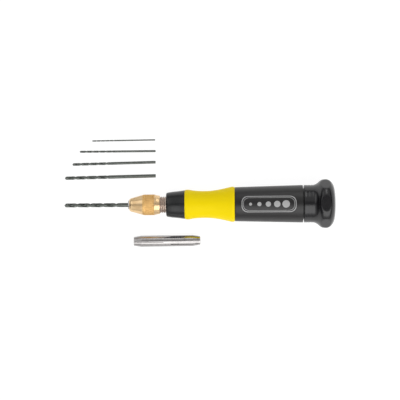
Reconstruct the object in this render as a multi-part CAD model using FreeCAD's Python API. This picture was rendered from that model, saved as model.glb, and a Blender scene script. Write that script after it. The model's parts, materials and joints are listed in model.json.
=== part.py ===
import FreeCAD, Part
import math
import os

# Pin vise drill: a hand drill with a screw-down chuck nut, a double-ended slotted collet, a soft
# grip sleeve and a free-turning palm knob, with four spare twist drills and one spare collet.
#
# Every piece of the tool is first made on its own axis, along +X from the drill's point. A place
# on the tool is a (station, radius) pair in millimetres: the distance from the drill's point and
# the distance from the axis. The finished tool is then laid down on the plane z = 0 as it rests,
# on the bead of its grip sleeve and on one flat of its knob, with the spares beside it.

os.makedirs("parts", exist_ok=True)

# ---------------------------------------------------------------- driving dimensions (mm)
# The tool's stations, from the drill's point to the palm end.
NUT_FRONT = 37.2
NUT_REAR = 54.7
FERRULE_FRONT = 58.3
SLEEVE_FRONT = 68.85
BODY_FRONT = 97.3
BODY_REAR = 136.0
CAP_FRONT = 136.6
CAP_END = 154.2

# Twist drills: 3/32 in the chuck, and 1/32, 3/64, 1/16 and 5/64 beside the tool.
DRILL_R = 1.19
DRILL_LENGTH = 57.15
DRILL_FLUTES = 31.75
LEAD_PER_RADIUS = 12.4
POINT_HALF_ANGLE = 59.0
# name, radius, length, flute length, point's station, point's y beside the tool's axis, turn
SPARE_DRILLS = [
    ("spare_drill_1", 0.40, 36.2, 13.0, 15.93, 36.9, 0.70),
    ("spare_drill_2", 0.60, 43.6, 19.0, 8.75, 30.73, 0.20),
    ("spare_drill_3", 0.79, 47.8, 22.2, 4.51, 23.43, 1.28),
    ("spare_drill_4", 0.99, 52.2, 25.4, 0.16, 15.59, 1.17),
]

# Double-ended collet, 1/4 x 1 1/2 inch.
COLLET_R = 3.175
COLLET_LENGTH = 38.1
COLLET_NOSE_R = 2.5
COLLET_TAPER = 4.4
COLLET_SLOT_LENGTH = 17.0
COLLET_BORE_SHARE = 0.59
COLLET_ENDS_APART = 40.0
COLLET_EDGE = 0.15
COLLET_PROUD = 0.6
# Bore radius and slot width at the front end and at the rear end.
FITTED_COLLET_ENDS = ((DRILL_R + 0.045, 0.45), (0.85, 0.25))
SPARE_COLLET_ENDS = ((0.64, 0.25), (1.03, 0.45))
SPARE_COLLET_PLACE = (39.46, -20.9)
SPARE_COLLET_TURN = 0.42
SPARE_COLLET_ROLL = 12.5
FITTED_COLLET_ROLL = 20.0

# Chuck thread, 3/8-24.
THREAD_R = 4.76
THREAD_PITCH = 1.058
THREAD_DEPTH = 0.55
THREAD_CREST = 0.14
THREAD_OVERCUT = 0.04
THREAD_LEAD_IN = 0.6 * THREAD_PITCH
THREAD_RUN_OUT = 0.7 * THREAD_PITCH
THREAD_FIT = 0.08
COLLET_FIT = 0.05

# Chuck nut.
NUT_FACE_R = 3.15
NUT_CONE = ((38.9, 3.95), (44.7, 5.66))
NUT_BAND = (45.9, 51.6)
NUT_R = 5.93
NUT_TAIL = ((52.6, 5.56), (54.55, 5.22))
NUT_EDGE = 0.15

# Spindle.
SPINDLE_FRONT = 45.3
SPINDLE_REAR = 80.5
SPINDLE_EDGE = 0.4
SPINDLE_SHANK_R = 4.4
SPINDLE_FLANGE_R = 5.4
FLANGE_FRONT = 59.5
FLANGE_REAR = 61.5
PIN_R = 0.8
PIN_STATION = 77.8

# Handle: nose ferrule, core, sleeve and rear body.
FERRULE_FRONT_R = 5.98
FERRULE_REAR_R = 8.14
SPIGOT_R = 5.6
CORE_R = 6.2
BODY_FRONT_R = 9.67
BODY_SHOULDER = (100.0, 9.76)
BODY_REAR_R = 10.66
SLEEVE_FRONT_R = 8.16
SLEEVE_BEAD = (70.7, 8.52)
SLEEVE_WAIST = (80.2, 7.66)
SLEEVE_CREST = (96.0, 10.03)
SLEEVE_REAR_R = 9.57
HOLLOW_FRONT = 82.5
HOLLOW_WIDE_FRONT = 101.0
HOLLOW_NARROW_R = 4.0
HOLLOW_WIDE_R = 7.6

# Swivel: the plug in the handle's end, its journal, and the knob that turns on it.
PLUG_FRONT = 124.0
PLUG_R = 8.2
PLUG_FLANGE_R = 8.6
PLUG_FLANGE_REAR = 137.6
JOURNAL_R = 4.5
JOURNAL_END = 147.15
BUSH_R = 6.2
BUSH_FIT = 0.05
WASHER_R = 8.3
WASHER_T = 0.9
WASHER_EDGE = 0.2
END_FLOAT = 0.1
CAP_SHOULDER = PLUG_FLANGE_REAR + WASHER_T + END_FLOAT
CAP_COUNTERBORE_R = 8.95
CAP_NECK_R = 10.68
CAP_NECK_REAR = 141.9
CAP_EDGE = 0.35
CAP_CREST = (148.8, 13.88)
CAP_RIM = (153.95, 8.0)
CAP_POCKET_R = 7.4
CAP_POCKET_FLOOR = 147.0
RETAINER_R = 6.8
RETAINER_T = 1.0
RETAINER_EDGE = 0.15
SCREW_R = 1.65
SCREW_HEAD_R = 3.4
SCREW_HEAD_H = 2.3
SCREW_HEAD_SIDE = 1.0
SCREW_RECESS = (1.2, 3.6, 0.8)
COVER_FLAT_R = 6.6
COVER_SEAT = 152.0

# Knob flats: six planes around the bulb, one of them underneath, where the tool rests on it.
FLAT_COUNT = 6
FLAT_DISTANCE = 12.97
FLAT_FRONT = 146.1

# The tool leans down to its nose by the angle between the sleeve's bead and the knob's low flat.
REST_TILT = math.degrees(math.atan2(FLAT_DISTANCE - SLEEVE_BEAD[1], FLAT_FRONT - SLEEVE_BEAD[0]))

AXIS = FreeCAD.Vector(1, 0, 0)
ORIGIN = FreeCAD.Vector(0, 0, 0)


# ---------------------------------------------------------------- outlines and solids
def at(station, radius):
    return FreeCAD.Vector(station, 0, radius)


def lines(points):
    """Straight edges through a list of (station, radius) points."""
    return [Part.makeLine(at(*a), at(*b)) for a, b in zip(points, points[1:])]


def curve(points, start=None, end=None):
    """One smooth edge through the points, with its end directions where they matter."""
    spline = Part.BSplineCurve()
    places = [at(*p) for p in points]
    if start and end:
        spline.interpolate(Points=places, InitialTangent=at(*start), FinalTangent=at(*end))
    else:
        spline.interpolate(Points=places)
    return [spline.toShape()]


def arc(start, middle, end):
    return [Part.Arc(at(*start), at(*middle), at(*end)).toShape()]


def turn(edges):
    """Solid of revolution about the tool's axis, from a closed outline's edges in order."""
    face = Part.Face(Part.Wire(edges))
    solid = face.revolve(ORIGIN, AXIS, 360)
    return Part.Solid(solid) if solid.ShapeType == "Shell" else solid


def turned(points):
    """Solid of revolution from a closed outline of straight edges."""
    return turn(lines(list(points) + [points[0]]))


def tube(front, rear, inner, outer, edge=0.0):
    """Plain ring or bush; with an edge, its two outer corners are broken by a chamfer."""
    if not edge:
        return turned([(front, inner), (front, outer), (rear, outer), (rear, inner)])
    return turned([
        (front, inner),
        (front, outer - edge),
        (front + edge, outer),
        (rear - edge, outer),
        (rear, outer - edge),
        (rear, inner),
    ])


def spin(shape, degrees):
    turned_shape = shape.copy()
    turned_shape.rotate(ORIGIN, AXIS, degrees)
    return turned_shape


def helix_on_axis(pitch, length, radius, start):
    """Right-hand helix about the tool's axis that begins at a station."""
    helix = Part.makeHelix(pitch, length, radius)
    helix.rotate(ORIGIN, FreeCAD.Vector(0, 1, 0), 90)
    helix.translate(FreeCAD.Vector(start, 0, 0))
    return Part.Wire(helix.Edges)


# ---------------------------------------------------------------- twist drills
def flute_section(radius):
    """Cross-section of a two-flute drill: a disc with a round hollow on each side."""
    flute_centre = 0.95 * radius
    flute_r = 0.72 * radius
    disc = Part.Face(Part.Wire(Part.makeCircle(radius, ORIGIN, AXIS)))
    for side in (1, -1):
        centre = FreeCAD.Vector(0, side * flute_centre, 0)
        hollow = Part.Face(Part.Wire(Part.makeCircle(flute_r, centre, AXIS)))
        disc = disc.cut(hollow)
    return disc.Faces[0].OuterWire


def twist_drill(radius, length, flutes):
    """Drill with its point at the origin and its shank along +X."""
    land_r = 0.98 * radius
    web_r = 0.2 * radius
    run_out = 4.0 * radius
    chamfer = 0.15 * radius
    sweep = Part.BRepOffsetAPI.MakePipeShell(Part.Wire(Part.makeLine(ORIGIN, AXIS * flutes)))
    sweep.setAuxiliarySpine(helix_on_axis(LEAD_PER_RADIUS * radius, flutes, radius, 0), True, 0)
    sweep.add(flute_section(land_r))
    sweep.build()
    sweep.makeSolid()
    fluted = sweep.shape()
    shank = turned([
        (flutes - run_out, 0),
        (flutes - run_out, web_r),
        (flutes, radius),
        (length - chamfer, radius),
        (length, radius - chamfer),
        (length, 0),
    ])
    point = radius / math.tan(math.radians(POINT_HALF_ANGLE))
    envelope = turned([(0, 0), (2 * point, 2 * radius), (length + 1, 2 * radius), (length + 1, 0)])
    return fluted.fuse(shank).common(envelope)


# ---------------------------------------------------------------- collets
def slots(width, turn_by):
    """Two crossing saw cuts through a collet's end at station 0."""
    box = Part.makeBox(COLLET_SLOT_LENGTH + 1, 4 * COLLET_R, width)
    box.translate(FreeCAD.Vector(-1, -2 * COLLET_R, -width / 2))
    return [spin(box, turn_by), spin(box, turn_by + 90)]


def collet(ends, slot_turn):
    """Double-ended collet from station 0, both ends slotted, one turned from the other."""
    (front_bore, front_slot), (rear_bore, rear_slot) = ends
    middle = COLLET_LENGTH * COLLET_BORE_SHARE
    body = turned([
        (0, front_bore),
        (0, COLLET_NOSE_R - COLLET_EDGE),
        (COLLET_EDGE, COLLET_NOSE_R),
        (COLLET_TAPER, COLLET_R),
        (COLLET_LENGTH - COLLET_TAPER, COLLET_R),
        (COLLET_LENGTH - COLLET_EDGE, COLLET_NOSE_R),
        (COLLET_LENGTH, COLLET_NOSE_R - COLLET_EDGE),
        (COLLET_LENGTH, rear_bore),
        (middle, rear_bore),
        (middle, front_bore),
    ])
    cuts = slots(front_slot, slot_turn)
    for cut in slots(rear_slot, slot_turn + COLLET_ENDS_APART):
        cut.rotate(ORIGIN, FreeCAD.Vector(0, 0, 1), 180)
        cut.translate(FreeCAD.Vector(COLLET_LENGTH, 0, 0))
        cuts.append(cut)
    return body.cut(cuts)


# ---------------------------------------------------------------- chuck
def chuck_nut():
    """Brass nut: rounded lip, cone, gripping band, tail chamfer; taper and bore inside."""
    collet_front = NUT_FRONT - COLLET_PROUD
    slope = (COLLET_R - COLLET_NOSE_R) / COLLET_TAPER
    mouth_r = COLLET_NOSE_R + COLLET_PROUD * slope + COLLET_FIT
    taper_rear = collet_front + COLLET_TAPER
    thread_front = SPINDLE_FRONT - SPINDLE_EDGE
    thread_bore = THREAD_R + THREAD_FIT
    cone_front, cone_rear = NUT_CONE
    band_front, band_rear = [(station, NUT_R) for station in NUT_BAND]
    tail_front, tail_rear = NUT_TAIL
    outside = arc((NUT_FRONT, NUT_FACE_R), (37.75, 3.62), cone_front)
    outside += lines([cone_front, cone_rear])
    outside += arc(cone_rear, (45.25, 5.82), band_front)
    outside += lines([band_front, band_rear, tail_front, tail_rear])
    inside = lines([
        tail_rear,
        (NUT_REAR, tail_rear[1] - NUT_EDGE),
        (NUT_REAR, thread_bore),
        (thread_front, thread_bore),
        (thread_front, COLLET_R + COLLET_FIT),
        (taper_rear, COLLET_R + COLLET_FIT),
        (NUT_FRONT, mouth_r),
        (NUT_FRONT, NUT_FACE_R),
    ])
    return turn(outside + inside)


def thread_groove(first, last):
    """Helical V cut for the chuck thread, between two stations."""
    root = THREAD_R - THREAD_DEPTH
    half_flank = (THREAD_PITCH - THREAD_CREST) / 2
    above = THREAD_R + THREAD_OVERCUT
    widen = half_flank * (above - root) / THREAD_DEPTH
    flat = 0.05
    corners = [
        at(first - flat, root),
        at(first + flat, root),
        at(first + widen, above),
        at(first - widen, above),
    ]
    profile = Part.makePolygon(corners + [corners[0]])
    helix = helix_on_axis(THREAD_PITCH, last - first, THREAD_R, first)
    return helix.makePipeShell([profile], True, True)


def spindle():
    """Steel spindle: threaded neck, flange, shank, and a bore with the collet's rear seat."""
    bore = COLLET_R + COLLET_FIT
    seat_front = NUT_FRONT - COLLET_PROUD + COLLET_LENGTH - COLLET_TAPER
    seat_rear = seat_front + COLLET_TAPER
    seat_r = COLLET_NOSE_R + COLLET_FIT
    floor = seat_rear + 0.3
    body = turned([
        (SPINDLE_FRONT, bore),
        (SPINDLE_FRONT, THREAD_R - SPINDLE_EDGE),
        (SPINDLE_FRONT + SPINDLE_EDGE, THREAD_R),
        (FLANGE_FRONT, THREAD_R),
        (FLANGE_FRONT, SPINDLE_FLANGE_R),
        (FLANGE_REAR, SPINDLE_FLANGE_R),
        (FLANGE_REAR, SPINDLE_SHANK_R),
        (SPINDLE_REAR, SPINDLE_SHANK_R),
        (SPINDLE_REAR, 0),
        (floor, 0),
        (floor, seat_r),
        (seat_rear, seat_r),
        (seat_front, bore),
    ])
    groove = thread_groove(SPINDLE_FRONT - THREAD_LEAD_IN, FLANGE_FRONT - THREAD_RUN_OUT)
    return body.cut(groove).cut(cross_pin())


def cross_pin():
    """Steel pin through the core and the spindle, which carries the turning force."""
    foot = FreeCAD.Vector(PIN_STATION, -CORE_R + 0.1, 0)
    return Part.makeCylinder(PIN_R, 2 * (CORE_R - 0.1), foot, FreeCAD.Vector(0, 1, 0))


# ---------------------------------------------------------------- handle
def nose_ferrule():
    """Black nose that closes over the spindle's flange, rounded in front, flared behind."""
    shoulder = (59.5, 6.99)
    flare = (SLEEVE_FRONT - 0.3, FERRULE_REAR_R)
    outside = arc((FERRULE_FRONT, FERRULE_FRONT_R), (58.6, 6.65), shoulder)
    outside += curve([shoulder, (61.8, 7.30), (65.3, 7.61), flare], (2.3, 0.45), (2.0, 0.5))
    inside = lines([
        flare,
        (SLEEVE_FRONT, FERRULE_REAR_R),
        (SLEEVE_FRONT, SPIGOT_R),
        (FLANGE_REAR, SPIGOT_R),
        (FLANGE_REAR, SPINDLE_FLANGE_R),
        (FLANGE_FRONT, SPINDLE_FLANGE_R),
        (FLANGE_FRONT, THREAD_R + THREAD_FIT),
        (FERRULE_FRONT, THREAD_R + THREAD_FIT),
        (FERRULE_FRONT, FERRULE_FRONT_R),
    ])
    return turn(outside + inside)


def grip_sleeve():
    """Soft waisted sleeve with a bead in front and its widest place behind."""
    front = (SLEEVE_FRONT, SLEEVE_FRONT_R)
    rear = (BODY_FRONT, SLEEVE_REAR_R)
    outside = arc(front, (69.35, 8.38), SLEEVE_BEAD)
    outside += curve(
        [SLEEVE_BEAD, (73.4, 8.06), (76.3, 7.79), SLEEVE_WAIST, (84.4, 7.86), (88.9, 8.52),
         (93.4, 9.53), SLEEVE_CREST],
        (1.0, 0.0),
        (1.0, 0.0),
    )
    outside += arc(SLEEVE_CREST, (96.9, 9.89), rear)
    inside = lines([rear, (BODY_FRONT, CORE_R), (SLEEVE_FRONT, CORE_R), front])
    return turn(outside + inside)


def handle_body():
    """Moulded handle: front spigot, core under the sleeve, tapering rear body, cored out."""
    edge = 0.3
    body = turned([
        (FLANGE_REAR, SPINDLE_SHANK_R),
        (FLANGE_REAR, SPIGOT_R),
        (SLEEVE_FRONT, SPIGOT_R),
        (SLEEVE_FRONT, CORE_R),
        (BODY_FRONT, CORE_R),
        (BODY_FRONT, BODY_FRONT_R - edge),
        (BODY_FRONT + edge, BODY_FRONT_R),
        BODY_SHOULDER,
        (BODY_REAR - edge, BODY_REAR_R),
        (BODY_REAR, BODY_REAR_R - edge),
        (BODY_REAR, PLUG_R),
        (PLUG_FRONT, PLUG_R),
        (PLUG_FRONT, HOLLOW_WIDE_R),
        (HOLLOW_WIDE_FRONT, HOLLOW_WIDE_R),
        (BODY_FRONT, HOLLOW_NARROW_R),
        (HOLLOW_FRONT, HOLLOW_NARROW_R),
        (HOLLOW_FRONT, 0),
        (SPINDLE_REAR, 0),
        (SPINDLE_REAR, SPINDLE_SHANK_R),
    ])
    return body.cut(cross_pin())


# ---------------------------------------------------------------- swivel
def bearing_plug():
    """Plug in the handle's end, with the flange seen in the gap and the knob's journal."""
    pocket_rear = 132.0
    pocket_r = 5.5
    edge = 0.3
    return turned([
        (PLUG_FRONT, pocket_r),
        (PLUG_FRONT, PLUG_R - edge),
        (PLUG_FRONT + edge, PLUG_R),
        (BODY_REAR, PLUG_R),
        (BODY_REAR, PLUG_FLANGE_R),
        (PLUG_FLANGE_REAR, PLUG_FLANGE_R),
        (PLUG_FLANGE_REAR, JOURNAL_R),
        (JOURNAL_END, JOURNAL_R),
        (JOURNAL_END, SCREW_R),
        (CAP_SHOULDER, SCREW_R),
        (CAP_SHOULDER, 0),
        (pocket_rear, 0),
        (pocket_rear, pocket_r),
    ])


def swivel_screw():
    """Pan-head screw with a cross recess, down the journal's middle."""
    head_front = JOURNAL_END + RETAINER_T
    head_rear = head_front + SCREW_HEAD_H
    outside = lines([
        (CAP_SHOULDER, 0),
        (CAP_SHOULDER, SCREW_R),
        (head_front, SCREW_R),
        (head_front, SCREW_HEAD_R),
        (head_front + SCREW_HEAD_SIDE, SCREW_HEAD_R),
    ])
    dome_start = (head_front + SCREW_HEAD_SIDE, SCREW_HEAD_R)
    outside += arc(dome_start, (head_rear - 0.25, 2.5), (head_rear, 0))
    outside += lines([(head_rear, 0), (CAP_SHOULDER, 0)])
    screw = turn(outside)
    depth, length, width = SCREW_RECESS
    recess = Part.makeBox(depth + 1, length, width)
    recess.translate(FreeCAD.Vector(head_rear - depth, -length / 2, -width / 2))
    return screw.cut([recess, spin(recess, 90)])


def knob_outline():
    """Outside of the knob from its front edge to the cover's seat, as edges in order."""
    front = (CAP_FRONT, CAP_NECK_R - CAP_EDGE)
    neck = (CAP_FRONT + CAP_EDGE, CAP_NECK_R)
    neck_rear = (CAP_NECK_REAR, CAP_NECK_R)
    round_off = CAP_EDGE * (1 - math.sqrt(0.5))
    outside = arc(front, (CAP_FRONT + round_off, CAP_NECK_R - round_off), neck)
    outside += lines([neck, neck_rear])
    outside += curve([neck_rear, (144.2, 11.64), (146.0, 13.14), CAP_CREST], (2.0, 0.0), (2.0, 0.0))
    outside += curve(
        [CAP_CREST, (151.3, 13.17), (152.9, 11.45), (153.75, 9.30), CAP_RIM],
        (2.0, 0.0),
        (0.2, -1.6),
    )
    return outside


def knob_flats(solid):
    """Cuts the six flats around the knob's bulb, the first one facing down."""
    reach = 4 * FLAT_DISTANCE
    block = Part.makeBox(reach, reach, reach)
    block.translate(FreeCAD.Vector(CAP_FRONT, -reach / 2, -FLAT_DISTANCE - reach))
    step = 360 / FLAT_COUNT
    return solid.cut([spin(block, step * i) for i in range(FLAT_COUNT)])


def swivel_cap():
    """Free-turning palm knob: neck, flared bulb with six flats, bush bore and screw pocket."""
    inside = lines([
        CAP_RIM,
        (COVER_SEAT, CAP_RIM[1]),
        (COVER_SEAT, CAP_POCKET_R),
        (CAP_POCKET_FLOOR, CAP_POCKET_R),
        (CAP_POCKET_FLOOR, BUSH_R),
        (CAP_SHOULDER, BUSH_R),
        (CAP_SHOULDER, CAP_COUNTERBORE_R),
        (CAP_FRONT, CAP_COUNTERBORE_R),
        (CAP_FRONT, CAP_NECK_R - CAP_EDGE),
    ])
    return knob_flats(turn(knob_outline() + inside))


def cap_cover():
    """Disc that closes the screw pocket, flat in the middle and eased at its rim."""
    outside = lines([(COVER_SEAT, 0), (COVER_SEAT, CAP_RIM[1]), CAP_RIM])
    outside += arc(CAP_RIM, (154.13, 7.35), (CAP_END, COVER_FLAT_R))
    outside += lines([(CAP_END, COVER_FLAT_R), (CAP_END, 0), (COVER_SEAT, 0)])
    return turn(outside)


def swivel_bush():
    return tube(CAP_SHOULDER, CAP_POCKET_FLOOR, JOURNAL_R + BUSH_FIT, BUSH_R)


def thrust_washer():
    rear = PLUG_FLANGE_REAR + WASHER_T
    return tube(PLUG_FLANGE_REAR, rear, JOURNAL_R, WASHER_R, WASHER_EDGE)


def retaining_washer():
    rear = JOURNAL_END + RETAINER_T
    return tube(JOURNAL_END, rear, SCREW_R, RETAINER_R, RETAINER_EDGE)


# ---------------------------------------------------------------- assembly
def tool_pieces():
    """All pieces of the tool, on the tool's own axis."""
    fitted_collet = collet(FITTED_COLLET_ENDS, FITTED_COLLET_ROLL)
    fitted_collet.translate(FreeCAD.Vector(NUT_FRONT - COLLET_PROUD, 0, 0))
    return {
        "drill": twist_drill(DRILL_R, DRILL_LENGTH, DRILL_FLUTES),
        "collet": fitted_collet,
        "chuck_nut": chuck_nut(),
        "spindle": spindle(),
        "spindle_pin": cross_pin(),
        "nose_ferrule": nose_ferrule(),
        "grip_sleeve": grip_sleeve(),
        "handle_body": handle_body(),
        "bearing_plug": bearing_plug(),
        "thrust_washer": thrust_washer(),
        "swivel_bush": swivel_bush(),
        "retaining_washer": retaining_washer(),
        "swivel_screw": swivel_screw(),
        "swivel_cap": swivel_cap(),
        "cap_cover": cap_cover(),
    }


def lay_down(shape, station, beside, radius, turn_by):
    """Puts a spare on the plane z = 0, at a station beside the tool and turned in plan."""
    laid = shape.copy()
    laid.rotate(ORIGIN, FreeCAD.Vector(0, 0, 1), turn_by)
    laid.translate(FreeCAD.Vector(station, beside, radius))
    return laid


def spare_pieces():
    """The four spare drills and the spare collet, lying beside the tool."""
    spares = {}
    for name, radius, length, flutes, station, beside, turn_by in SPARE_DRILLS:
        shape = twist_drill(radius, length, flutes)
        spares[name] = lay_down(shape, station, beside, radius, turn_by)
    shape = collet(SPARE_COLLET_ENDS, SPARE_COLLET_ROLL)
    spares["spare_collet"] = lay_down(shape, *SPARE_COLLET_PLACE, COLLET_R, SPARE_COLLET_TURN)
    return spares


def placed(shape, placement):
    moved = shape.copy()
    moved.Placement = placement.multiply(moved.Placement)
    return moved


def rest_on_plane(pieces):
    """Placement that tilts the tool and lifts it until its lowest point is on z = 0."""
    tilt = FreeCAD.Rotation(FreeCAD.Vector(0, 1, 0), -REST_TILT)
    tilted = [placed(shape, FreeCAD.Placement(ORIGIN, tilt)) for shape in pieces.values()]
    lift = -min(shape.optimalBoundingBox().ZMin for shape in tilted)
    return FreeCAD.Placement(FreeCAD.Vector(0, 0, lift), tilt)


def centre_in_plan(pieces):
    """Moves everything together so that the set's box is centred on the z axis."""
    box = FreeCAD.BoundBox()
    for shape in pieces.values():
        box.add(shape.optimalBoundingBox())
    shift = FreeCAD.Vector(-(box.XMin + box.XMax) / 2, -(box.YMin + box.YMax) / 2, 0)
    for shape in pieces.values():
        shape.translate(shift)
    return shift


tool = tool_pieces()
tool_placement = rest_on_plane(tool)
pieces = {name: placed(shape, tool_placement) for name, shape in tool.items()}
pieces.update(spare_pieces())
plan_shift = centre_in_plan(pieces)

for node, piece in pieces.items():
    piece.exportStep("parts/" + node + ".step")
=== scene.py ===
import json
import math

import bpy
from mathutils import Matrix, Vector


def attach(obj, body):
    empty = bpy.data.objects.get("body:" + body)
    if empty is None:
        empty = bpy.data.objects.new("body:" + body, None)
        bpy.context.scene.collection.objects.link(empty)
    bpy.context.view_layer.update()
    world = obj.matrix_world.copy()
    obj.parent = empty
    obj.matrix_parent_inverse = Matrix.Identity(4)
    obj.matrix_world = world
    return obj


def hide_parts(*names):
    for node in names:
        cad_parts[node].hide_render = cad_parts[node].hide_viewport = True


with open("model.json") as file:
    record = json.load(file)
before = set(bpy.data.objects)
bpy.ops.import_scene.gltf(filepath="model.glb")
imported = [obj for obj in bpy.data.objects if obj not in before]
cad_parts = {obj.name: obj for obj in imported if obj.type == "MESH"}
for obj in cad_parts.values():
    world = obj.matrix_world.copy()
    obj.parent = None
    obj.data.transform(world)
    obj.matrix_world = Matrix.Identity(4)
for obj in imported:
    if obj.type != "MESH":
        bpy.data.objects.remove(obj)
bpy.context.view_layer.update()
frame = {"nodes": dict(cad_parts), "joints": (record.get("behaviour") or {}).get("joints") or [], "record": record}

# Pin vise drill with its spare drills and collet, dressed for display.
#
# Stations along the tool and radii about its axis are in millimetres, measured from the drill's
# point. Meshes of the tool are made on that axis, along their own +X, and each object is then set
# on the tool's axis as the frame gives it.

MM = 0.001
NODES = frame["nodes"]
MOUNTS = {mount["name"]: mount for mount in frame["record"]["mounts"]}
JOINTS = {joint["name"]: joint for joint in frame["joints"]}


# ---------------------------------------------------------------- the tool's own axis
def axis_frame(origin, along):
    """Placement whose +X runs along a direction, with +Y kept level."""
    x_axis = Vector(along).normalized()
    y_axis = Vector((0, 0, 1)).cross(x_axis).normalized()
    z_axis = x_axis.cross(y_axis)
    turn = Matrix((x_axis, y_axis, z_axis)).transposed().to_4x4()
    return Matrix.Translation(Vector(origin)) @ turn


TOOL = axis_frame(MOUNTS["drill_point"]["pos_m"], JOINTS["knob_swivel"]["axis"])
TOOL_LEAN = math.asin(Vector(JOINTS["knob_swivel"]["axis"]).normalized().z)

# Stations and radii that several pieces share.
NUT_FRONT, NUT_REAR = 37.2, 54.7
FERRULE_FRONT = 58.3
SPIGOT_FRONT = 61.5
SLEEVE_FRONT = 68.85
BODY_FRONT, BODY_REAR = 97.3, 136.0
CAP_FRONT, CAP_END = 136.6, 154.2
CORE_R = 6.2
SPIGOT_R = 5.6
THREAD_BORE = 4.84
FLANGE_POCKET_R = 5.4
SHANK_BORE_R = 4.4
CORE_HOLLOW_R = 4.0
BODY_HOLLOW_R = 7.6
PLUG_SEAT_R = 8.2
KNOB_NECK_R = 10.68


# ---------------------------------------------------------------- outlines
def smooth(points, steps=8):
    """Points along a smooth line through the given ones."""
    ends = [points[0]] + list(points) + [points[-1]]
    line = []
    for before, a, b, after in zip(ends, ends[1:], ends[2:], ends[3:]):
        for step in range(steps):
            t = step / steps
            line.append(tuple(
                0.5 * (2 * a[k] + (b[k] - before[k]) * t
                       + (2 * before[k] - 5 * a[k] + 4 * b[k] - after[k]) * t * t
                       + (3 * (a[k] - b[k]) + after[k] - before[k]) * t ** 3)
                for k in (0, 1)))
    return line + [tuple(points[-1])]


def corner(before, at, after, reach, steps=4):
    """Points that round a corner off, starting and ending at most a reach away from it."""
    arms = []
    for other in (before, after):
        gap = math.dist(at, other)
        share = min(reach, 0.45 * gap) / gap
        arms.append(tuple(at[k] + (other[k] - at[k]) * share for k in (0, 1)))
    start, end = arms
    line = []
    for step in range(steps + 1):
        t = step / steps
        line.append(tuple(
            (1 - t) ** 2 * start[k] + 2 * t * (1 - t) * at[k] + t * t * end[k] for k in (0, 1)))
    return line


def eased(points, closed=True):
    """Outline with its corners rounded: each point is (station, radius) or (station, radius, reach)."""
    line = []
    count = len(points)
    for i, point in enumerate(points):
        at_end = not closed and i in (0, count - 1)
        if len(point) < 3 or at_end:
            line.append(tuple(point[:2]))
            continue
        before = points[(i - 1) % count][:2]
        after = points[(i + 1) % count][:2]
        line += corner(before, point[:2], after, point[2])
    return line


def divided(start, end, pitch):
    """Evenly spaced points between two, both included, no further apart than a pitch."""
    count = max(1, math.ceil(math.dist(start, end) / pitch))
    return [tuple(start[k] + (end[k] - start[k]) * i / count for k in (0, 1))
            for i in range(count + 1)]


# ---------------------------------------------------------------- meshes
def finish_mesh(name, verts, faces, placement, material, sharp_angle=38, second=None):
    """Object from points in millimetres. second is (material, test) for the faces whose middle,
    before it is placed, passes the test."""
    mesh = bpy.data.meshes.new(name)
    mesh.from_pydata([tuple(c * MM for c in v) for v in verts], [], faces)
    mesh.validate()
    mesh.materials.append(material)
    if second:
        mesh.materials.append(second[0])
        for face in mesh.polygons:
            face.material_index = int(second[1](face.center / MM))
    mesh.transform(placement)
    mesh.polygons.foreach_set("use_smooth", [True] * len(mesh.polygons))
    mesh.set_sharp_from_angle(angle=math.radians(sharp_angle))
    piece = bpy.data.objects.new(name, mesh)
    bpy.context.scene.collection.objects.link(piece)
    return piece


def lathe(name, outline, segments, placement, material, shape=None, closed=True, second=None):
    """Turned piece from an outline of (station, radius). shape(station, angle, radius) may carve it.
    A closed outline is a ring's section; an open one starts and ends on the axis."""
    verts = []
    rows = []
    for station, radius in outline:
        if radius <= 1e-6:
            rows.append([len(verts)])
            verts.append((station, 0.0, 0.0))
            continue
        row = []
        for j in range(segments):
            angle = 2 * math.pi * j / segments
            r = shape(station, angle, radius) if shape else radius
            row.append(len(verts))
            verts.append((station, r * math.cos(angle), r * math.sin(angle)))
        rows.append(row)
    pairs = list(zip(rows, rows[1:]))
    if closed:
        pairs.append((rows[-1], rows[0]))
    faces = []
    for a, b in pairs:
        for j in range(segments):
            k = (j + 1) % segments
            if len(a) == 1 and len(b) == 1:
                continue
            if len(a) == 1:
                faces.append((a[0], b[j], b[k]))
            elif len(b) == 1:
                faces.append((a[k], a[j], b[0]))
            else:
                faces.append((a[k], a[j], b[j], b[k]))
    return finish_mesh(name, verts, faces, placement, material, second=second)


def stands_for(piece, node, body):
    """The piece replaces a CAD node of the same body: the node is hidden and the piece joins that body."""
    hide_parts(node)
    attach(piece, body)


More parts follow.
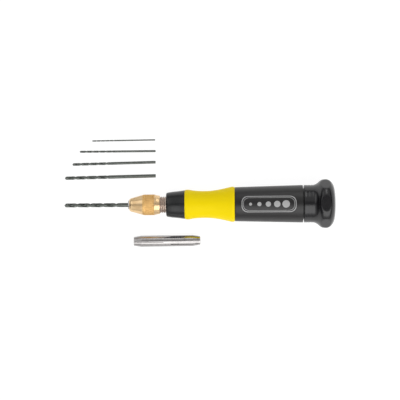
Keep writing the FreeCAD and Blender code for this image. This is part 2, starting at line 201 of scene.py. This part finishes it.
# ---------------------------------------------------------------- material nodes
class Surface:
    """A principled material with a few small builders for its procedural parts."""

    def __init__(self, name, roughness, metallic=0.0, **settings):
        self.material = bpy.data.materials.new(name)
        self.material.use_nodes = True
        self.nodes = self.material.node_tree.nodes
        self.links = self.material.node_tree.links
        self.shader = self.nodes["Principled BSDF"]
        self.shader.inputs["Roughness"].default_value = roughness
        self.shader.inputs["Metallic"].default_value = metallic
        for socket, value in settings.items():
            self.shader.inputs[socket].default_value = value
        self.height = None
        coordinates = self.nodes.new("ShaderNodeTexCoord")
        self.place = coordinates.outputs["Object"]

    def stretched(self, scale, turn=(0.0, 0.0, 0.0)):
        """Object coordinates scaled along each axis, and turned first."""
        mapping = self.nodes.new("ShaderNodeMapping")
        mapping.vector_type = "POINT"
        mapping.inputs["Scale"].default_value = scale
        mapping.inputs["Rotation"].default_value = turn
        self.links.new(self.place, mapping.inputs["Vector"])
        return mapping.outputs["Vector"]

    def noise(self, size_mm, detail=3.0, stretch=(1.0, 1.0, 1.0), turn=(0.0, 0.0, 0.0)):
        """Noise whose blotches are about size_mm across."""
        texture = self.nodes.new("ShaderNodeTexNoise")
        texture.inputs["Scale"].default_value = 1.0 / (size_mm * MM)
        texture.inputs["Detail"].default_value = detail
        self.links.new(self.stretched(stretch, turn), texture.inputs["Vector"])
        return texture.outputs["Fac"]

    def rings(self, pitch_mm, distortion=0.0):
        """Bands across the tool's axis, one every pitch."""
        wave = self.nodes.new("ShaderNodeTexWave")
        wave.wave_type = "BANDS"
        wave.bands_direction = "X"
        wave.inputs["Scale"].default_value = math.pi / (10 * pitch_mm * MM)
        wave.inputs["Distortion"].default_value = distortion
        self.links.new(self.stretched((1, 1, 1), (0, TOOL_LEAN, 0)), wave.inputs["Vector"])
        return wave.outputs["Fac"]

    def ramp(self, value, low, high):
        """Reads a 0 to 1 value off between two levels, held at both ends."""
        node = self.nodes.new("ShaderNodeMapRange")
        node.inputs["From Min"].default_value = low
        node.inputs["From Max"].default_value = high
        self.links.new(value, node.inputs["Value"])
        return node.outputs["Result"]

    def scaled(self, value, low, high):
        """Spreads a 0 to 1 value between two levels."""
        node = self.nodes.new("ShaderNodeMapRange")
        node.inputs["To Min"].default_value = low
        node.inputs["To Max"].default_value = high
        self.links.new(value, node.inputs["Value"])
        return node.outputs["Result"]

    def edges(self, low=0.53, high=0.60):
        """1 on outer edges, 0 on open faces."""
        geometry = self.nodes.new("ShaderNodeNewGeometry")
        return self.ramp(geometry.outputs["Pointiness"], low, high)

    def mixed(self, factor, first, second):
        """Colour between two, each a colour or another node's output."""
        node = self.nodes.new("ShaderNodeMix")
        node.data_type = "RGBA"
        self.links.new(factor, node.inputs["Factor"])
        colour_a, colour_b = node.inputs[6], node.inputs[7]
        for socket, colour in ((colour_a, first), (colour_b, second)):
            if isinstance(colour, (tuple, list)):
                socket.default_value = (*colour, 1.0)
            else:
                self.links.new(colour, socket)
        return node.outputs[2]

    def product(self, first, second):
        node = self.nodes.new("ShaderNodeMath")
        node.operation = "MULTIPLY"
        for socket, value in zip(node.inputs, (first, second)):
            if isinstance(value, (int, float)):
                socket.default_value = value
            else:
                self.links.new(value, socket)
        return node.outputs[0]

    def colour(self, value):
        self.links.new(value, self.shader.inputs["Base Color"])

    def roughness(self, value, low, high):
        self.links.new(self.scaled(value, low, high), self.shader.inputs["Roughness"])

    def bump(self, value, depth_mm, strength=1.0):
        """Adds a relief of the given depth on top of what is there already."""
        node = self.nodes.new("ShaderNodeBump")
        node.inputs["Distance"].default_value = depth_mm * MM
        node.inputs["Strength"].default_value = strength
        self.links.new(value, node.inputs["Height"])
        if self.height:
            self.links.new(self.height, node.inputs["Normal"])
        self.height = node.outputs["Normal"]
        self.links.new(self.height, self.shader.inputs["Normal"])


def black_plastic(name, dark, light, roughness, gloss=0.5):
    """Satin moulded plastic: faint mottling, spark-eroded grain, paler rubbed edges."""
    surface = Surface(name, roughness, **{"Specular IOR Level": gloss})
    base = surface.mixed(surface.noise(9.0), dark, light)
    rubbed = tuple(c * 2.0 for c in light)
    worn = surface.product(surface.edges(0.54, 0.66), surface.ramp(surface.noise(1.6), 0.35, 0.75))
    surface.colour(surface.mixed(worn, base, rubbed))
    surface.roughness(surface.noise(2.5, 5.0), roughness - 0.05, roughness + 0.07)
    surface.bump(surface.noise(0.22, 2.0), 0.006)
    surface.bump(surface.noise(30.0, 1.0), 0.05)
    return surface.material


def yellow_elastomer():
    """Soft satin yellow grip, a little deeper in broad random patches, with a very fine grain."""
    surface = Surface("YellowElastomer", 0.42, **{"Specular IOR Level": 0.07})
    base = surface.mixed(surface.noise(14.0), (0.87, 0.660, 0.0012), (0.91, 0.700, 0.0016))
    specks = surface.ramp(surface.noise(0.7, 6.0), 0.60, 0.78)
    soiled = surface.mixed(surface.product(specks, 0.08), base, (0.60, 0.42, 0.004))
    surface.colour(soiled)
    surface.roughness(surface.noise(3.0, 4.0), 0.36, 0.50)
    surface.bump(surface.noise(0.30, 2.0), 0.008)
    surface.bump(surface.noise(22.0, 1.0), 0.06)
    return surface.material


def brass(name, light, dark, low, high, ring_depth):
    """Turned brass: tool rings across the axis, faint tarnish, brighter edges. Its roughness runs
    from low to high."""
    surface = Surface(name, low, metallic=1.0)
    tarnish = surface.ramp(surface.noise(3.0, 6.0), 0.40, 0.75)
    pale = tuple(min(1.0, c * 1.12) for c in light)
    surface.colour(surface.mixed(surface.edges(), surface.mixed(tarnish, light, dark), pale))
    surface.roughness(surface.noise(0.8, 5.0, (4.0, 1.0, 1.0)), low, high)
    surface.bump(surface.rings(0.16, distortion=0.4), ring_depth)
    return surface.material


def steel(name, dark, light, low, high, streaks, ring_depth=0.0):
    """Machined steel: streaks, uneven gloss from low to high roughness, bright worn edges."""
    surface = Surface(name, low, metallic=1.0)
    grain = surface.noise(0.5, 5.0, streaks)
    base = surface.mixed(surface.ramp(grain, 0.3, 0.7), dark, light)
    stain = surface.ramp(surface.noise(4.0, 5.0), 0.52, 0.75)
    stained = surface.mixed(surface.product(stain, 0.35), base, tuple(c * 0.55 for c in dark))
    surface.colour(surface.mixed(surface.edges(), stained, tuple(min(1.0, c * 1.5) for c in light)))
    surface.roughness(grain, low, high)
    surface.bump(grain, 0.004)
    if ring_depth:
        surface.bump(surface.rings(0.14, distortion=0.3), ring_depth)
    return surface.material


def nylon():
    """Milky unfilled nylon."""
    surface = Surface("NaturalNylon", 0.5, **{"Subsurface Weight": 0.1, "Subsurface Scale": 0.002})
    surface.colour(surface.mixed(surface.noise(2.0), (0.72, 0.70, 0.62), (0.80, 0.78, 0.71)))
    surface.roughness(surface.noise(0.8, 4.0), 0.45, 0.6)
    surface.bump(surface.noise(0.3), 0.01)
    return surface.material


def printed_ink():
    """Pale grey pad print, thinner in places."""
    surface = Surface("PrintedInk", 0.5)
    worn = surface.ramp(surface.noise(0.35, 6.0), 0.58, 0.80)
    surface.colour(surface.mixed(surface.product(worn, 0.35), (0.38, 0.38, 0.38), (0.17, 0.17, 0.17)))
    surface.roughness(surface.noise(0.5, 4.0), 0.42, 0.60)
    surface.bump(surface.noise(0.25, 3.0), 0.004)
    return surface.material


HANDLE_PLASTIC = black_plastic(
    "HandlePlastic", (0.0048, 0.0041, 0.0043), (0.0064, 0.0055, 0.0058), 0.38)
KNOB_PLASTIC = black_plastic(
    "KnobPlastic", (0.0016, 0.0014, 0.0024), (0.0026, 0.0022, 0.0036), 0.21, gloss=0.58)
NOSE_PLASTIC = black_plastic(
    "NosePlastic", (0.0012, 0.0018, 0.0022), (0.0020, 0.0028, 0.0034), 0.29, gloss=0.47)
PLUG_PLASTIC = black_plastic("PlugPlastic", (0.005, 0.005, 0.005), (0.007, 0.007, 0.007), 0.45)
YELLOW = yellow_elastomer()
POLISHED_BRASS = brass("PolishedBrass", (0.84, 0.605, 0.340), (0.72, 0.490, 0.255), 0.26, 0.36, 0.003)
KNURLED_BRASS = brass("KnurledBrass", (0.80, 0.512, 0.205), (0.72, 0.445, 0.170), 0.45, 0.58, 0.0)
BRONZE = brass("SinteredBronze", (0.55, 0.36, 0.20), (0.45, 0.28, 0.14), 0.40, 0.55, 0.0)
EVEN = (1.0, 1.0, 1.0)
LENGTHWISE = (0.25, 1.0, 1.0)
NECK_STEEL = steel("NeckSteel", (0.47, 0.380, 0.325), (0.60, 0.510, 0.445), 0.34, 0.48, EVEN)
DRILL_STEEL = steel("DrillSteel", (0.090, 0.098, 0.090), (0.150, 0.160, 0.148), 0.26, 0.40, LENGTHWISE)
COLLET_STEEL = steel("ColletSteel", (0.34, 0.325, 0.320), (0.43, 0.415, 0.410), 0.16, 0.28, EVEN, 0.002)
PLATED_STEEL = steel("PlatedSteel", (0.55, 0.56, 0.57), (0.68, 0.69, 0.70), 0.25, 0.4, EVEN)
INK = printed_ink()
NYLON = nylon()


# ---------------------------------------------------------------- handle
BODY_CONE = ((99.0, 9.73), (134.6, 10.62))
PARTING_HEIGHT = 0.03
PARTING_HALF_WIDTH = 0.10


def parting_line(station, angle, radius):
    """Fine raised line where the two mould halves met, on both sides of a moulded piece."""
    across = abs(math.sin(angle)) * radius
    if across > PARTING_HALF_WIDTH:
        return radius
    return radius + PARTING_HEIGHT * (1 - across / PARTING_HALF_WIDTH)


def grip_sleeve():
    """Soft sleeve: small bead at the front, long waist, crest and rolled edge at the rear."""
    outline = eased([
        (SLEEVE_FRONT, CORE_R),
        (SLEEVE_FRONT, 8.16, 0.25),
        (69.3, 8.38, 0.3),
    ], closed=False)
    outline += smooth([
        (69.7, 8.46), (70.7, 8.52), (71.8, 8.41), (73.4, 8.06), (76.3, 7.79), (80.2, 7.66),
        (84.4, 7.86), (88.9, 8.52), (93.4, 9.53), (95.2, 9.95), (96.0, 10.03),
    ], 10)
    outline += smooth([(96.3, 10.03), (96.8, 9.94), (97.15, 9.75), (BODY_FRONT, 9.53)], 4)
    outline.append((BODY_FRONT, CORE_R))
    piece = lathe("grip_sleeve_soft", outline, 192, TOOL, YELLOW)
    stands_for(piece, "grip_sleeve", "handle")


def nose_ferrule():
    """Black nose: rounded shoulder, slightly hollow flare up to the sleeve, pocket for the flange."""
    outline = eased([
        (FERRULE_FRONT, THREAD_BORE, 0.12),
        (FERRULE_FRONT, 6.70, 0.75),
        (59.5, 7.00, 0.5),
    ], closed=False)
    outline += smooth([(60.2, 7.11), (61.8, 7.34), (65.3, 7.69), (67.4, 7.96), (68.55, 8.13)], 8)
    outline += eased([
        (SLEEVE_FRONT, 8.14, 0.06),
        (SLEEVE_FRONT, SPIGOT_R),
        (SPIGOT_FRONT, SPIGOT_R),
        (SPIGOT_FRONT, FLANGE_POCKET_R),
        (59.5, FLANGE_POCKET_R),
        (59.5, THREAD_BORE),
    ], closed=False)
    piece = lathe("nose_ferrule_moulded", outline, 160, TOOL, NOSE_PLASTIC)
    stands_for(piece, "nose_ferrule", "handle")


def handle_body():
    """Moulded handle: spigot and core inside the sleeve, tapering rear body, hollow for the plug."""
    shank_bore_end = 80.5
    outline = eased([
        (SPIGOT_FRONT, SHANK_BORE_R),
        (SPIGOT_FRONT, SPIGOT_R),
        (SLEEVE_FRONT, SPIGOT_R),
        (SLEEVE_FRONT, CORE_R),
        (BODY_FRONT, CORE_R),
        (BODY_FRONT, 9.59, 0.25),
        (98.0, 9.70, 0.3),
    ], closed=False)
    outline += divided(*BODY_CONE, 1.6)
    outline += eased([
        (135.5, 10.64, 0.2),
        (BODY_REAR, 10.62, 0.32),
        (BODY_REAR, PLUG_SEAT_R, 0.2),
        (124.0, PLUG_SEAT_R),
        (124.0, BODY_HOLLOW_R),
        (101.0, BODY_HOLLOW_R),
        (BODY_FRONT, CORE_HOLLOW_R),
        (82.5, CORE_HOLLOW_R),
        (82.5, 0.0),
    ], closed=False)
    outline = [(shank_bore_end, 0.0), (shank_bore_end, SHANK_BORE_R)] + outline
    piece = lathe("handle_body_moulded", outline, 192, TOOL, HANDLE_PLASTIC,
                  shape=lambda s, a, r: parting_line(s, a, r) if r > 9 else r, closed=False)
    stands_for(piece, "handle_body", "handle")


# ---------------------------------------------------------------- badge
INK_HALF_THICKNESS = 0.03


def on_body(station, arc_mm, lift):
    """Point on the rear body's upper side: a station, an arc length off the top line, a lift."""
    (front, front_r), (rear, rear_r) = BODY_CONE
    radius = front_r + (station - front) * (rear_r - front_r) / (rear - front) + lift
    angle = math.pi / 2 + arc_mm / radius
    return (station, radius * math.cos(angle), radius * math.sin(angle))


def printed_shape(loops):
    """Ink that lies on the body through loops of (station, arc) points, from the inside out."""
    count = len(loops[0])
    section = [(loop, INK_HALF_THICKNESS) for loop in loops]
    section += [(loop, -INK_HALF_THICKNESS) for loop in reversed(loops)]
    verts = [on_body(*point, height) for loop, height in section for point in loop]
    faces = []
    for ring in range(len(section)):
        here = ring * count
        there = (ring + 1) % len(section) * count
        for i in range(count):
            k = (i + 1) % count
            faces.append((here + i, here + k, there + k, there + i))
    return verts, faces


def dot(middle, radius, sides=40, rings=8):
    """Loops of a round dot, close enough together to follow the body."""
    reaches = [0.02] + [radius * step / rings for step in range(1, rings + 1)]
    turns = [2 * math.pi * j / sides for j in range(sides)]
    return [[(middle + reach * math.cos(turn), reach * math.sin(turn)) for turn in turns]
            for reach in reaches]


def rounded_frame(centre, half_length, half_height, radius, steps=10):
    """Loop of points around a rounded rectangle."""
    loop = []
    for quarter, (sx, sy) in enumerate(((1, 1), (-1, 1), (-1, -1), (1, -1))):
        for step in range(steps + 1):
            turn = math.radians(90 * (quarter + step / steps))
            loop.append((centre + sx * (half_length - radius) + radius * math.cos(turn),
                         sy * (half_height - radius) + radius * math.sin(turn)))
    sides = []
    for a, b in zip(loop, loop[1:] + loop[:1]):
        sides += divided(a, b, 1.0)[:-1] if math.dist(a, b) > 1.0 else [a]
    return sides


def size_badge():
    """Printed badge: a rounded frame with a row of five growing dots, one for each drill size."""
    centre = 116.6
    half_length, half_height, end_radius = 15.4, 4.75, 3.6
    first_dot, dot_spacing = -10.4, 5.0
    smallest_dot, dot_growth = 0.85, 0.32
    verts = []
    faces = []

    def add(shape):
        offset = len(verts)
        verts.extend(shape[0])
        faces.extend(tuple(i + offset for i in face) for face in shape[1])

    outer = rounded_frame(centre, half_length, half_height, end_radius)

    def inset(edge):
        across = (half_length - edge) / half_length
        up = (half_height - edge) / half_height
        return [(centre + (s - centre) * across, y * up) for s, y in outer]

    for edge, line in ((0.0, 0.40), (0.95, 0.20)):
        add(printed_shape([inset(edge + line), inset(edge)]))
    for i in range(5):
        middle = centre + first_dot + dot_spacing * i
        add(printed_shape(dot(middle, smallest_dot + dot_growth * i)))
    piece = finish_mesh("size_badge", verts, faces, TOOL, INK)
    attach(piece, "handle")


# ---------------------------------------------------------------- chuck nut
BAND_FRONT, BAND_REAR = 45.9, 51.6
NUT_R = 5.93
MOUTH_R, TAPER_R = 2.645, 3.225
TAPER_REAR, THREAD_FRONT = 41.0, 44.9
KNURL_TEETH = 54
KNURL_DEPTH = 0.17
KNURL_FADE = 0.3


def knurl(station, angle, radius):
    """Diamond knurl on the gripping band, fading out at its two edges."""
    if station <= BAND_FRONT or station >= BAND_REAR or radius < NUT_R - 0.01:
        return radius
    pitch = 2 * math.pi * NUT_R / KNURL_TEETH
    turns = KNURL_TEETH * angle / (2 * math.pi)
    cuts = [abs(2 * ((turns + way * station / pitch) % 1.0) - 1) for way in (1, -1)]
    fade = min(1.0, (station - BAND_FRONT) / KNURL_FADE, (BAND_REAR - station) / KNURL_FADE)
    return radius - KNURL_DEPTH * fade * max(cuts)


def on_band(middle):
    """True for the faces of the band, and for the darker strip just ahead of it."""
    return BAND_FRONT - 0.9 < middle.x < BAND_REAR and math.hypot(middle.y, middle.z) > NUT_R - 0.4


def chuck_nut():
    """Brass chuck nut: polished lip, cone and tail, knurled gripping band."""
    lip = [(TAPER_REAR, TAPER_R), (NUT_FRONT, MOUTH_R)]
    lip += eased([
        (NUT_FRONT, MOUTH_R, 0.05),
        (37.35, 3.25, 0.3),
        (38.0, 3.80, 0.5),
        (39.0, 4.03, 0.4),
        (44.9, 5.72, 0.5),
        (BAND_FRONT, NUT_R),
    ], closed=False)
    tail = eased([
        (BAND_REAR, NUT_R),
        (51.75, NUT_R - 0.02, 0.1),
        (52.6, 5.56, 0.3),
        (NUT_REAR, 5.22, 0.15),
        (NUT_REAR, THREAD_BORE, 0.1),
        (THREAD_FRONT, THREAD_BORE),
        (THREAD_FRONT, TAPER_R),
    ], closed=False)
    band = divided((BAND_FRONT, NUT_R), (BAND_REAR, NUT_R), 0.075)
    piece = lathe("chuck_nut_turned", lip + band[1:-1] + tail, 8 * KNURL_TEETH, TOOL,
                  POLISHED_BRASS, shape=knurl, second=(KNURLED_BRASS, on_band))
    stands_for(piece, "chuck_nut", "chuck_nut")


# ---------------------------------------------------------------- knob
FLAT_DISTANCE = 12.97
FLAT_COUNT = 6
FLAT_SOFTNESS = 0.35
COVER_SEAT_FRONT = 152.0


def soft_min(a, b, softness):
    """The smaller of two values, with a rounded change from one to the other."""
    blend = max(softness - abs(a - b), 0.0) / softness
    return min(a, b) - blend * blend * softness / 4


def flats(station, angle, radius):
    """Six thumb flats round the bulb, the first facing down, with softened borders."""
    if radius < 11.5:
        return radius
    step = 2 * math.pi / FLAT_COUNT
    off = (angle + math.pi / 2 + step / 2) % step - step / 2
    return soft_min(radius, FLAT_DISTANCE / math.cos(off), FLAT_SOFTNESS)


def knob():
    """Palm knob: straight neck with two fine grooves, round bulb with flats, seat for the cover."""
    neck, recess = KNOB_NECK_R, 8.95
    groove_depth, groove_floor, groove_mouth = 0.07, 0.10, 0.28
    outline = eased([(CAP_FRONT, recess, 0.15), (CAP_FRONT, neck, 0.35), (137.4, neck)], closed=False)
    for middle in (138.75, 140.35):
        outline += [
            (middle - groove_mouth, neck),
            (middle - groove_floor, neck - groove_depth),
            (middle + groove_floor, neck - groove_depth),
            (middle + groove_mouth, neck),
        ]
    outline += smooth([
        (141.5, neck), (142.3, 10.77), (143.2, 11.08), (144.2, 11.66), (145.1, 12.42),
        (146.0, 13.14), (147.1, 13.66), (148.8, 13.88), (150.1, 13.72), (151.3, 13.17),
        (152.2, 12.33), (152.9, 11.40), (153.4, 10.38), (153.75, 9.30), (153.92, 8.5),
    ], 8)
    outline += eased([
        (153.97, 8.03, 0.08),
        (COVER_SEAT_FRONT, 8.03),
        (COVER_SEAT_FRONT, 7.4),
        (147.0, 7.4),
        (147.0, 6.2),
        (138.6, 6.2),
        (138.6, recess),
    ], closed=False)
    piece = lathe("palm_knob", outline, 240, TOOL, KNOB_PLASTIC, shape=flats)
    stands_for(piece, "swivel_cap", "knob")


def knob_cover():
    """Cover disc in the knob's end, with a shallow ring and a small gate mark in the middle."""
    cover_r = 7.97
    ring_floor = CAP_END - 0.12
    gate_floor = CAP_END - 0.15
    outline = eased([
        (COVER_SEAT_FRONT, 0.0),
        (COVER_SEAT_FRONT, cover_r, 0.1),
        (153.93, cover_r, 0.10),
        (CAP_END, 6.7, 0.8),
        (CAP_END, 5.6, 0.1),
        (ring_floor, 5.45, 0.1),
        (ring_floor, 5.15, 0.1),
        (CAP_END, 5.0, 0.1),
        (CAP_END, 0.9, 0.1),
        (gate_floor, 0.75, 0.1),
        (gate_floor, 0.0),
    ], closed=False)
    piece = lathe("knob_cover_disc", outline, 128, TOOL, KNOB_PLASTIC, closed=False)
    stands_for(piece, "cap_cover", "knob")


# ---------------------------------------------------------------- twist drills
# Each drill's radius, length and flute length; a spare's number is its place in the list.
FITTED_DRILL = (1.19, 57.15, 31.75)
SPARE_DRILLS = [(0.40, 36.2, 13.0), (0.60, 43.6, 19.0), (0.79, 47.8, 22.2), (0.99, 52.2, 25.4)]
LEAD_PER_RADIUS = 12.4
POINT_SLOPE = math.tan(math.radians(59))
SHANK_CHAMFER = 0.15

# The section of a drill of unit size.
FLUTE_CENTRE, FLUTE_R = 0.95, 0.72
FLUTE_EDGE = math.radians(43.3)
MARGIN = math.radians(14)
RELIEF = 0.965
WEB = 0.22


def section_angles():
    """Angles round the drill's section, closer together at the flute edges."""
    edge = FLUTE_EDGE
    land = edge + MARGIN
    marks = []
    for half in (0.0, math.pi):
        spans = [
            (-edge, edge, 16),
            (edge, land, 3),
            (land, land + 0.03, 1),
            (land + 0.03, math.pi - edge, 16),
        ]
        for start, end, parts in spans:
            marks += [half + start + (end - start) * i / parts for i in range(parts)]
    return marks


def section_radius(angle):
    """Radius of a two-flute section of unit size: flutes, narrow margins, relieved lands."""
    off = (angle + math.pi / 2) % math.pi - math.pi / 2
    if abs(off) <= FLUTE_EDGE:
        half_chord = math.sqrt(FLUTE_R ** 2 - (FLUTE_CENTRE * math.sin(off)) ** 2)
        return min(1.0, FLUTE_CENTRE * math.cos(off) - half_chord)
    after_edge = off - FLUTE_EDGE if off > 0 else off + math.pi - FLUTE_EDGE
    return 1.0 if after_edge <= MARGIN + 0.001 else RELIEF


def drill_stations(radius, length, flutes):
    """Stations of a drill's rows: close together on the point and the flutes, sparse on the shank."""
    point = radius / POINT_SLOPE
    stations = [0.0] + [point * (i + 1) / 8 for i in range(8)]
    pitch = LEAD_PER_RADIUS * radius / 48
    stations += [s for s, _ in divided((point, 0), (flutes, 0), pitch)[1:]]
    shank_end = length - SHANK_CHAMFER * radius
    stations += [s for s, _ in divided((flutes, 0), (shank_end, 0), 3.0)[1:]]
    return stations + [length]


def twist_drill(name, radius, length, flutes, placement):
    """Drill along +X from its point: ground cone, twisted flutes that run out, plain shank."""
    angles = section_angles()
    web = WEB * radius
    run_out = 4.0 * radius
    verts = [(0.0, 0.0, 0.0)]
    rows = []
    for station in drill_stations(radius, length, flutes)[1:]:
        twist = 2 * math.pi * min(station, flutes) / (LEAD_PER_RADIUS * radius)
        rise = min(1.0, max(0.0, (station - flutes + run_out) / run_out))
        floor = web + (radius - web) * rise if rise > 0 else 0.0
        row = []
        for angle in angles:
            r = section_radius(angle) * radius * 0.99
            r = max(r, floor) if rise < 1 else radius
            r = min(r, station * POINT_SLOPE)
            if station == length:
                r = (1 - SHANK_CHAMFER) * radius
            row.append(len(verts))
            verts.append((station, r * math.cos(angle + twist), r * math.sin(angle + twist)))
        rows.append(row)
    count = len(angles)
    faces = [(0, rows[0][j], rows[0][(j + 1) % count]) for j in range(count)]
    for a, b in zip(rows, rows[1:]):
        faces += [(a[(j + 1) % count], a[j], b[j], b[(j + 1) % count]) for j in range(count)]
    end = len(verts)
    verts.append((length, 0.0, 0.0))
    faces += [(rows[-1][(j + 1) % count], rows[-1][j], end) for j in range(count)]
    return finish_mesh(name, verts, faces, placement, DRILL_STEEL, 30)


def drills():
    """The fitted drill on the tool's axis, and each spare where its shank's mount lies."""
    piece = twist_drill("drill_fluted", *FITTED_DRILL, TOOL)
    stands_for(piece, "drill", "drill")
    for number, (radius, length, flutes) in enumerate(SPARE_DRILLS, 1):
        node = f"spare_drill_{number}"
        shank = MOUNTS[node + "_shank"]
        along = Vector(shank["axis"])
        middle = flutes + (length - SHANK_CHAMFER * radius - flutes) / 2
        point = Vector(shank["pos_m"]) - along * middle * MM
        piece = twist_drill(node + "_fluted", radius, length, flutes, axis_frame(point, along))
        stands_for(piece, node, node)


# ---------------------------------------------------------------- pieces kept from the frame
def dress(node, material):
    """Gives a piece from the frame its material."""
    piece = NODES[node]
    piece.data.materials.clear()
    piece.data.materials.append(material)


def dress_frame_nodes():
    for node, material in (
        ("spindle", NECK_STEEL),
        ("collet", COLLET_STEEL),
        ("spare_collet", COLLET_STEEL),
        ("spindle_pin", PLATED_STEEL),
        ("swivel_screw", PLATED_STEEL),
        ("retaining_washer", PLATED_STEEL),
        ("swivel_bush", BRONZE),
        ("thrust_washer", NYLON),
        ("bearing_plug", PLUG_PLASTIC),
    ):
        dress(node, material)


grip_sleeve()
nose_ferrule()
handle_body()
size_badge()
chuck_nut()
knob()
knob_cover()
drills()
dress_frame_nodes()


# ---------------------------------------------------------------- stage, light and camera
FLOOR_GLOW = 0.93
# Brightness of the tent round the tool, by the angle off straight up (towards -Y when positive).
TENT = [(-95, 0.22), (-80, 0.30), (-66, 0.74), (-18, 0.68), (-11, 0.26), (3, 0.26), (10, 0.95),
        (68, 0.90), (88, 0.26)]
TENT_END_DIMMING = 0.10


def floor():
    """Plain white table top, large enough to fill every view."""
    surface = Surface("StudioWhite", 0.6)
    surface.colour(surface.mixed(surface.noise(60.0), (0.11, 0.11, 0.11), (0.12, 0.12, 0.12)))
    surface.shader.inputs["Emission Color"].default_value = (1.0, 1.0, 1.0, 1.0)
    surface.shader.inputs["Emission Strength"].default_value = FLOOR_GLOW
    half = 4000.0
    verts = [(-half, -half, 0), (half, -half, 0), (half, half, 0), (-half, half, 0)]
    table = finish_mesh("table_top", verts, [(0, 1, 2, 3)], Matrix.Identity(4), surface.material)


def softbox(name, lean, spread, along, length, radiance, distance=0.7):
    """Long panel beside the tool: centred a lean off straight up (towards -Y when positive), as
    wide as the spread it covers in degrees, centred at a place along X. Lengths are in metres."""
    data = bpy.data.lights.new(name, "AREA")
    data.shape = "RECTANGLE"
    data.size = length
    data.size_y = 2 * distance * math.tan(math.radians(spread / 2))
    data.energy = math.pi * data.size * data.size_y * radiance
    light = bpy.data.objects.new(name, data)
    bpy.context.scene.collection.objects.link(light)
    angle = math.radians(lean)
    light.location = (along, -distance * math.sin(angle), distance * math.cos(angle))
    light.rotation_euler = (angle, 0, 0)


def tent():
    """White tent: darker in the slit overhead, at the horizon and towards its two open ends."""
    world = bpy.data.worlds.new("StudioTent")
    world.use_nodes = True
    nodes = world.node_tree.nodes
    links = world.node_tree.links

    def maths(operation, *values):
        node = nodes.new("ShaderNodeMath")
        node.operation = operation
        for socket, value in zip(node.inputs, values):
            if isinstance(value, (int, float)):
                socket.default_value = value
            else:
                links.new(value, socket)
        return node.outputs[0]

    direction = nodes.new("ShaderNodeTexCoord")
    parts = nodes.new("ShaderNodeSeparateXYZ")
    links.new(direction.outputs["Generated"], parts.inputs[0])
    lean = maths("ARCTAN2", maths("MULTIPLY", parts.outputs["Y"], -1.0), parts.outputs["Z"])
    place = maths("ADD", maths("DIVIDE", lean, 2 * math.pi), 0.5)
    ramp = nodes.new("ShaderNodeValToRGB")
    links.new(place, ramp.inputs["Fac"])
    stops = ramp.color_ramp.elements
    while len(stops) < len(TENT):
        stops.new(0.5)
    for stop, (angle, level) in zip(stops, TENT):
        stop.position = angle / 360 + 0.5
        stop.color = (level, level, level, 1.0)
    ends = nodes.new("ShaderNodeMapRange")
    ends.interpolation_type = "SMOOTHSTEP"
    ends.inputs["From Min"].default_value = 0.55
    ends.inputs["From Max"].default_value = 0.88
    ends.inputs["To Min"].default_value = 1.0
    ends.inputs["To Max"].default_value = TENT_END_DIMMING
    links.new(maths("ABSOLUTE", parts.outputs["X"]), ends.inputs["Value"])
    background = nodes["Background"]
    links.new(ramp.outputs["Color"], background.inputs["Color"])
    links.new(ends.outputs["Result"], background.inputs["Strength"])
    bpy.context.scene.world = world


def lights():
    softbox("key_front", lean=37, spread=50, along=0.35, length=1.25, radiance=1.45)
    softbox("fill_back", lean=-59, spread=32, along=0.09, length=0.14, radiance=2.1)
    softbox("nose_back", lean=-34, spread=60, along=-0.48, length=0.34, radiance=0.78)
    tent()


def camera():
    """Looks down on the tool, leaning a little towards its nose, from well above."""
    lean = math.radians(2.0)
    roll = math.radians(0.43)
    distance = 0.8
    view_width = 0.228
    sensor_width = 36
    middle = Vector((77.54 * MM, 2.55 * MM, 0))
    level = Vector((math.cos(lean), 0, math.sin(lean)))
    side = Vector((0, 1, 0))
    right = level * math.cos(roll) - side * math.sin(roll)
    up = level * math.sin(roll) + side * math.cos(roll)
    back = right.cross(up)
    data = bpy.data.cameras.new("view")
    data.sensor_width = sensor_width
    data.lens = sensor_width * distance / view_width
    eye = bpy.data.objects.new("view", data)
    bpy.context.scene.collection.objects.link(eye)
    target = TOOL @ middle
    turn = Matrix((right, up, back)).transposed().to_4x4()
    eye.matrix_world = Matrix.Translation(target + back * distance) @ turn
    bpy.context.scene.camera = eye


floor()
lights()
camera()
bpy.context.scene.view_settings.view_transform = "Standard"
